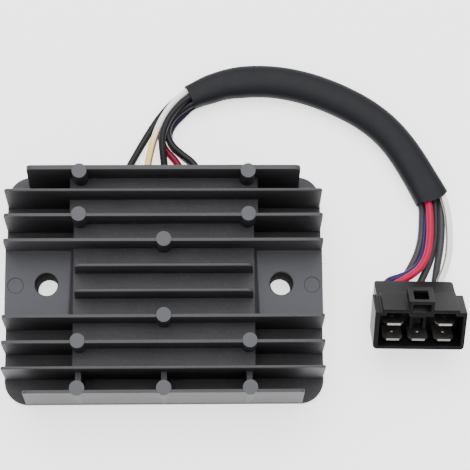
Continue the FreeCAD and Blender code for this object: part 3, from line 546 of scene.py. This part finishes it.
# Inside the sleeve: how far to the left of the way along it, and up. The last line names the terminal's
# column and row, the wire's side in a shared barrel, and how far its last bend is behind the rear
WIRES = {
    "wire_white": dict(
        before=[(-5.9, 34.4, 3.5), (-5.9, 38.4, 3.5), (-4.8, 44.8, 3.8), (-3.1, 51.2, 4.1),
                (-0.5, 57.2, 4.1), (3.1, 62.4, 4.3)],
        inside=[(2.2, 0.7), (3.2, 1.2), (3.66, 1.3), (3.66, 1.3), (3.66, 1.3), (3.66, 1.3),
                (3.66, 1.3), (3.66, 1.3), (3.66, 1.35), (3.55, 1.6)],
        after=[(92.5, 25.4, 5.15), (93.0, 19.2, 4.8), (92.9, 13.0, 4.6), (91.6, 6.6, 4.5)],
        hole=(1, "high", 0, 2.5), pieces=["terminal_upper_right"]),
    "wire_black_1": dict(
        before=[(-12.7, 34.4, 3.4), (-12.7, 38.4, 3.4), (-9.2, 45.2, 2.4), (-5.6, 51.8, 1.7),
                (-1.7, 58.0, 1.6), (2.8, 63.1, 1.7)],
        inside=[(2.4, -1.8), (3.2, -1.5), (3.66, -1.3), (3.66, -1.3), (3.66, -1.3), (3.66, -1.3),
                (3.66, -1.3), (3.66, -1.3), (3.7, -1.3), (3.8, -1.25)],
        after=[(90.85, 24.8, 3.15), (90.75, 18.8, 3.15), (90.1, 12.8, 3.0), (88.9, 7.0, 2.4),
               (88.0, 1.2, 1.6)],
        hole=(1, "low", 0, 2.0), pieces=["terminal_lower_right"]),
    "wire_black_2": dict(
        before=[(0.3, 34.4, 3.8), (0.3, 38.4, 3.8), (-0.5, 44.4, 5.0), (-0.9, 50.6, 5.8),
                (1.2, 56.3, 6.0), (4.7, 60.9, 6.0)],
        inside=[(0.0, 1.7), (0.0, 1.45), (-1.23, 0.71), (-1.23, -0.71), (0.0, -1.42), (1.0, -1.42),
                (1.15, -1.42), (1.2, -1.45), (1.25, -1.5), (1.5, -1.5)],
        after=[(89.3, 24.3, 1.35), (89.2, 18.2, 1.3), (88.0, 12.3, 1.3), (86.0, 7.0, 1.3),
               (83.2, 1.6, 1.3)],
        hole=(0, "low", 0, 2.0), pieces=["terminal_lower_middle"]),
    "wire_red": dict(
        before=[(6.0, 34.4, 3.3), (6.0, 38.4, 3.3), (3.6, 42.9, 2.9), (-0.4, 47.2, 2.0),
                (-1.4, 52.2, 1.4), (0.8, 57.0, 1.3), (4.5, 60.9, 1.6)],
        inside=[(0.0, -1.2), (0.0, -1.4), (1.23, -0.71), (1.23, 0.71), (0.0, 1.42), (1.0, 1.42),
                (1.24, 1.42), (0.3, 1.3), (-0.8, 1.2), (-1.4, 1.2)],
        after=[(86.85, 22.6, 5.4), (86.6, 16.4, 5.5), (85.6, 10.6, 5.7), (82.9, 5.7, 6.0),
               (78.2, 2.4, 6.0)],
        hole=(-1, "high", 1, 2.8), pieces=["terminal_upper_left"]),
    "wire_black_3": dict(
        before=[(11.4, 34.4, 4.4), (11.4, 38.4, 4.4), (9.3, 41.9, 4.3), (5.9, 44.5, 4.1),
                (2.4, 47.6, 3.9), (0.65, 51.8, 3.65), (1.75, 55.9, 3.55), (4.95, 59.3, 3.7)],
        inside=[(-2.2, 0.7), (-3.2, 1.2), (-3.65, 1.3), (-3.65, 1.3), (-3.5, 1.35), (-2.6, 1.4),
                (-3.2, 0.3), (-3.5, -0.6), (-3.6, -1.2), (-3.3, -1.4)],
        after=[(84.7, 22.2, 1.3), (84.2, 16.4, 1.3), (82.5, 10.8, 1.3), (79.8, 6.0, 1.3),
               (76.5, 0.8, 1.3)],
        hole=(-1, "low", 0, 2.0), pieces=["terminal_lower_left"]),
    "wire_blue": dict(
        before=[(11.4, 34.4, 1.9), (11.4, 38.4, 1.9), (9.3, 41.9, 1.8), (5.6, 44.9, 1.6),
                (2.2, 48.1, 1.4), (1.2, 52.0, 1.3), (2.95, 55.65, 1.3), (6.15, 58.8, 1.4)],
        inside=[(-2.3, -1.8), (-3.2, -1.5), (-3.65, -1.3), (-3.65, -1.3), (-3.5, -1.35), (-2.6, -1.4),
                (-1.3, -1.45), (-1.25, -1.5), (-1.2, -1.5), (-0.9, -1.5)],
        after=[(86.35, 22.6, 3.05), (85.9, 16.8, 3.05), (84.9, 11.2, 3.2), (82.3, 6.3, 3.65),
               (77.6, 3.6, 3.9)],
        hole=(-1, "high", -1, 5.1), pieces=[]),
}

PLUG_PLACE = Vector((80.15, -7.8, 1.2))
PLUG_TURN = Matrix.Rotation(math.radians(-1.0), 3, "Z") @ Matrix.Rotation(math.radians(42.0), 3, "X")
COLUMN_PITCH = 8.1
WIRE_LEVEL = {"high": 8.4, "low": 2.65}
BARREL_SET_IN = 2.0
TWIN_OFFSET = 1.25


def beside(index, aside, up):
    """The sleeve's point with that number, moved to its left by one amount and up by another."""
    here = Vector(SLEEVE_POINTS[index])
    before = here - Vector(SLEEVE_POINTS[max(index - 1, 0)])
    after = Vector(SLEEVE_POINTS[min(index + 1, len(SLEEVE_POINTS) - 1)]) - here
    along = [way.normalized() for way in (before, after) if way.length > 0]
    mean = (along[0] + along[-1]).normalized()
    reach = aside / mean.dot(along[0])
    return Vector((here.x - mean.y * reach, here.y + mean.x * reach, SLEEVE_LEVEL + up))


def at_plug(across, up, along):
    """A place given in the connector's own directions."""
    return PLUG_PLACE + PLUG_TURN @ Vector((across, up, along))


def wire_route(wire):
    column, row, twin, reach = wire["hole"]
    across = column * COLUMN_PITCH + twin * TWIN_OFFSET
    points = [Vector(point) for point in wire["before"]]
    points += [beside(index, *offset) for index, offset in enumerate(wire["inside"])]
    points += [Vector(point) for point in wire["after"]]
    points += [at_plug(across, WIRE_LEVEL[row], along) for along in (-reach, BARREL_SET_IN)]
    return [point * MM for point in points]


# %% A smooth curve through a route
def smooth_curve(name, points, radius=0.0):
    data = bpy.data.curves.new(name, "CURVE")
    data.dimensions = "3D"
    data.bevel_depth, data.bevel_resolution = radius, 7
    data.use_fill_caps = True
    data.resolution_u = 10
    spline = data.splines.new("NURBS")
    spline.points.add(len(points) - 1)
    for knot, point in zip(spline.points, points):
        knot.co = (*point, 1.0)
    spline.order_u = 3
    spline.use_endpoint_u = True
    curve = bpy.data.objects.new(name, data)
    bpy.context.scene.collection.objects.link(curve)
    return curve


def curve_points(curve):
    """The points along a curve that has no thickness."""
    depsgraph = bpy.context.evaluated_depsgraph_get()
    mesh = bpy.data.meshes.new_from_object(curve.evaluated_get(depsgraph))
    points = [vertex.co.copy() for vertex in mesh.vertices]
    bpy.data.meshes.remove(mesh)
    return points


def length_of(points):
    return sum((b - a).length for a, b in zip(points, points[1:]))


# %% [markdown]
# ### Coloured insulation
# Extruded plastic is smooth and takes one colour right through. The coloured wires get painted shade near the
# housing, where they lie among the others, and have their own colour towards the connector. Random blotches
# from handling darken them a little. The white has yellowed near the housing. The white wire also carries a
# thin brown tracer, printed along it, so that an electrician can tell it apart.

# %% Finish of the wires
TRACER = (0.30, 0.36)
SHADE_FULL_TO, SHADE_GONE_FROM = 5, 75
YELLOW_FROM, YELLOW_FULL, YELLOW_SIDE = 55, 48, 10


def insulation_finish(name, shaded_near_housing, near_plug):
    """Plastic with painted shade near the housing, its own colour near the connector, and random handling
    blotches.
    """
    skin = Finish(name)
    fleck = skin.noise(500.0, 2.0, 0.5)
    handled = skin.noise(90.0, 3.0, 0.6)
    # Painted shade: the colour runs from the painted-shade one near the housing to the wire's own one further
    # on.
    shade = skin.mix(skin.rise(skin.axis(0), SHADE_FULL_TO, SHADE_GONE_FROM), shaded_near_housing, near_plug)
    shade = skin.mix(skin.ramp(handled, (0.35, 0.0), (0.75, 0.13)), shade, (0.0, 0.0, 0.0))
    return skin.surface(Base_Color=shade, Roughness=0.3 + handled * 0.14, Specular_IOR_Level=0.18,
                        Normal=skin.bump(fleck, 0.00002, 0.4))


def white_finish():
    """White with a thin brown tracer along it, and yellowed by the heat near the housing."""
    skin = Finish("white_insulation")
    handled = skin.noise(90.0, 3.0, 0.6)
    on_surface = skin.add("ShaderNodeTexCoord", out="UV")
    round_it = skin.add("ShaderNodeSeparateXYZ", None, {0: on_surface}, out=1)
    tracer = round_it.above(TRACER[0]) * round_it.below(TRACER[1])
    yellowed = skin.rise(skin.axis(1), YELLOW_FROM, YELLOW_FULL) * skin.axis(0).below(YELLOW_SIDE * MM)
    shade = skin.mix(skin.ramp(handled, (0.35, 0.0), (0.75, 0.4)), (0.97, 0.95, 0.92), (0.88, 0.84, 0.79))
    shade = skin.mix(yellowed, shade, (0.95, 0.68, 0.25))
    shade = skin.mix(tracer * 0.9, shade, (0.06, 0.03, 0.016))
    return skin.surface(Base_Color=shade, Roughness=0.3 + handled * 0.14)


# For each coloured wire: first its painted-shade colour near the housing, then its own colour near the
# connector.
INSULATION = {
    "white": white_finish(),
    "red": insulation_finish("red_insulation", (0.17, 0.0, 0.02), (0.46, 0.0, 0.05)),
    "blue": insulation_finish("blue_insulation", (0.009, 0.006, 0.03), (0.028, 0.008, 0.09)),
    "black": insulation_finish("black_insulation", (0.01, 0.01, 0.012), (0.052, 0.052, 0.056)),
}
print("insulation:", ", ".join(INSULATION))

# %% Lay the wires
WIRE_RADIUS = 1.2
for name, wire in WIRES.items():
    route = wire_route(wire)
    bare = smooth_curve(name + "_line", route)
    length = length_of(curve_points(bare))
    bpy.data.objects.remove(bare)
    piece = smooth_curve(name + "_laid", route, WIRE_RADIUS * MM)
    colour = name.split("_")[1]
    dress(piece, INSULATION[colour])
    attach(piece, "root")
    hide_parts(name)
    colour + "_insulation"
    wire["laid"], wire["length"], wire["exit"] = piece, length, route[0]
    print(name, "length in mm:", round(length / MM, 1))

# %% [markdown]
# ## The sleeve
# A soft black tube holds the wires together. It is wider than it is high, because the wires lie beside one
# another in it, and it widens towards its mouth near the connector. A curve's bevel can't change its
# section on the way, so a flattened ring is carried along the sleeve's own line, and the wall gets its
# thickness afterwards.

# %% Make the sleeve
SLEEVE_WALL = 0.45
SLEEVE_FORM = [
    # share of the length, half width, half height, squareness
    (0.0, 4.1, 3.35, 2.9), (0.09, 4.85, 3.5, 2.5), (0.2, 5.35, 3.6, 2.35), (0.5, 5.45, 3.62, 2.3),
    (0.76, 5.35, 3.62, 2.35), (0.9, 5.45, 3.6, 2.5), (1.0, 5.6, 3.55, 3.0),
]
RING_STEPS = 48
MOUTH_FROM, MOUTH_LOW, MOUTH_HIGH, MOUTH_AT = 0.9, 0.5, 0.9, 0.25
sleeve_line = smooth_curve("sleeve_line", [Vector((x, y, SLEEVE_LEVEL)) * MM for x, y in SLEEVE_POINTS])
sleeve_path = curve_points(sleeve_line)
sleeve_length = length_of(sleeve_path)


def form_at(share):
    """The section between the two listed ones around that share of the length."""
    for first, second in zip(SLEEVE_FORM, SLEEVE_FORM[1:]):
        if share <= second[0]:
            t = (share - first[0]) / (second[0] - first[0])
            t = t * t * (3 - 2 * t)
            return [a + (b - a) * t for a, b in zip(first[1:], second[1:])]
    return SLEEVE_FORM[-1][1:]


def sleeve_ring(place, ahead, share):
    """A flattened round across the sleeve. The mouth is cut a little aslant."""
    spread, rise, square = form_at(share)
    ahead = ahead.normalized()
    across = Vector((-ahead.y, ahead.x, 0))
    longer = max(0.0, (share - MOUTH_FROM) / (1.0 - MOUTH_FROM))
    ring = []
    for step in range(RING_STEPS):
        angle = 2 * math.pi * step / RING_STEPS
        x = math.copysign(abs(math.cos(angle)) ** (2 / square), math.cos(angle))
        z = math.copysign(abs(math.sin(angle)) ** (2 / square), math.sin(angle))
        reach = longer * (MOUTH_LOW + MOUTH_HIGH * max(0.0, z)) * (1 - (x - MOUTH_AT) ** 2)
        ring.append(place + (across * x * spread + ahead * reach + Vector((0, 0, z * rise))) * MM)
    return ring


def sleeve_mesh():
    mesh = bmesh.new()
    rings, gone = [], 0.0
    for index, place in enumerate(sleeve_path):
        gone += (place - sleeve_path[max(index - 1, 0)]).length
        ahead = sleeve_path[min(index + 1, len(sleeve_path) - 1)] - sleeve_path[max(index - 1, 0)]
        ring = sleeve_ring(place, ahead, gone / sleeve_length)
        rings.append([mesh.verts.new(point) for point in ring])
    for first, second in zip(rings, rings[1:]):
        for step in range(RING_STEPS):
            after = (step + 1) % RING_STEPS
            mesh.faces.new((first[step], first[after], second[after], second[step]))
    data = bpy.data.meshes.new("sleeve")
    bmesh.ops.recalc_face_normals(mesh, faces=mesh.faces)
    mesh.to_mesh(data)
    mesh.free()
    return data


sleeve = bpy.data.objects.new("harness_sleeve_fitted", sleeve_mesh())
bpy.context.scene.collection.objects.link(sleeve)
bpy.data.objects.remove(sleeve_line)
only(sleeve)
wall = sleeve.modifiers.new("wall", "SOLIDIFY")
wall.thickness, wall.offset = SLEEVE_WALL * MM, -1
bpy.ops.object.modifier_apply(modifier=wall.name)
bpy.ops.object.shade_smooth_by_angle(angle=math.radians(50))
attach(sleeve, "root")
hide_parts("harness_sleeve")


# %% Finish of the sleeve
VINYL, SCUFFED_VINYL = (0.0028, 0.0032, 0.0055), (0.0055, 0.0062, 0.0105)


def sleeve_finish():
    skin = Finish("sleeve_vinyl")
    scuffs = skin.noise(260.0, 4.0, 0.6)
    wander = skin.noise(40.0, 2.0, 0.5)
    normal = skin.bump(scuffs, 0.0001, 0.4)
    normal = skin.bump(wander, 0.002, 0.3, normal)
    shade = skin.mix(skin.ramp(scuffs, (0.4, 0.0), (0.8, 0.5)), VINYL, SCUFFED_VINYL)
    return skin.surface(Base_Color=shade, Roughness=0.52 + scuffs * 0.16, Specular_IOR_Level=0.27,
                        Normal=normal)


dress(sleeve, sleeve_finish())
print("sleeve length in mm:", round(sleeve_length / MM, 1))

# %% [markdown]
# ## Connector and blades
# The connector is one moulding in dark nylon, and its five blades are stamped from tinned brass. Nylon has
# hardly a colour of its own here: it shows by the light on its rounded edges. The blades are metal, so they
# take their colour from what they mirror, and fine streaks from rolling break that up.

# %% Finish the connector
PLUG_RADIUS, BLADE_RADIUS = 0.25, 0.08


def nylon_finish():
    nylon = Finish("dark_nylon")
    grain = nylon.noise(1800.0, 2.0, 0.6)
    clouds = nylon.noise(90.0, 3.0, 0.5)
    shade = nylon.mix(clouds, (0.003, 0.003, 0.0033), (0.005, 0.005, 0.0056))
    return nylon.surface(Base_Color=shade, Roughness=0.33 + grain * 0.15, Specular_IOR_Level=0.16,
                         Normal=nylon.bump(grain, 0.00002, 0.4))


def tin_finish():
    tin = Finish("tinned_brass")
    streaks = tin.noise(700.0, 3.0, 0.6)
    shade = tin.mix(streaks, (0.42, 0.4, 0.37), (0.58, 0.57, 0.54))
    return tin.surface(Base_Color=shade, Metallic=1.0, Roughness=0.28 + streaks * 0.2,
                       Normal=tin.bump(streaks, 0.00002, 0.3))


connector = dress(softened("connector_housing", PLUG_RADIUS), nylon_finish())
tin = tin_finish()
for node in [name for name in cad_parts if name.startswith("terminal_")]:
    dress(softened(node, BLADE_RADIUS), tin)

# %% [markdown]
# ## The circuit inside
# The parts set in the resin can't be seen, but they are there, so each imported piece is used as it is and
# gets the finish of its kind.

# %% Finish the inner parts
def plain_finish(name, colour, roughness):
    body = Finish(name)
    mottle = body.noise(1200.0, 2.0, 0.5)
    shade = body.mix(mottle, colour, tuple(part * 0.8 for part in colour))
    return body.surface(Base_Color=shade, Roughness=roughness + mottle * 0.1,
                        Normal=body.bump(mottle, 0.00002, 0.3))


PACKAGED = ("thyristor", "rectifier", "control", "zener")
INNER = {
    "insulation": (plain_finish("amber_film", (0.55, 0.42, 0.2), 0.4), ["insulating_sheet"]),
    "board": (plain_finish("board_laminate", (0.05, 0.22, 0.1), 0.45), ["circuit_board"]),
    "package": (plain_finish("moulded_package", (0.03, 0.03, 0.03), 0.5),
                [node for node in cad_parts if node.startswith(PACKAGED)]),
    "ceramic_part": (plain_finish("fired_ceramic", (0.45, 0.36, 0.24), 0.55),
                     ["storage_capacitor", "sense_resistor", "gate_resistor"]),
}
for kind, (material, nodes) in INNER.items():
    for node in nodes:
        dress(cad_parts[node], material)
    print(kind, "pieces:", len(nodes))
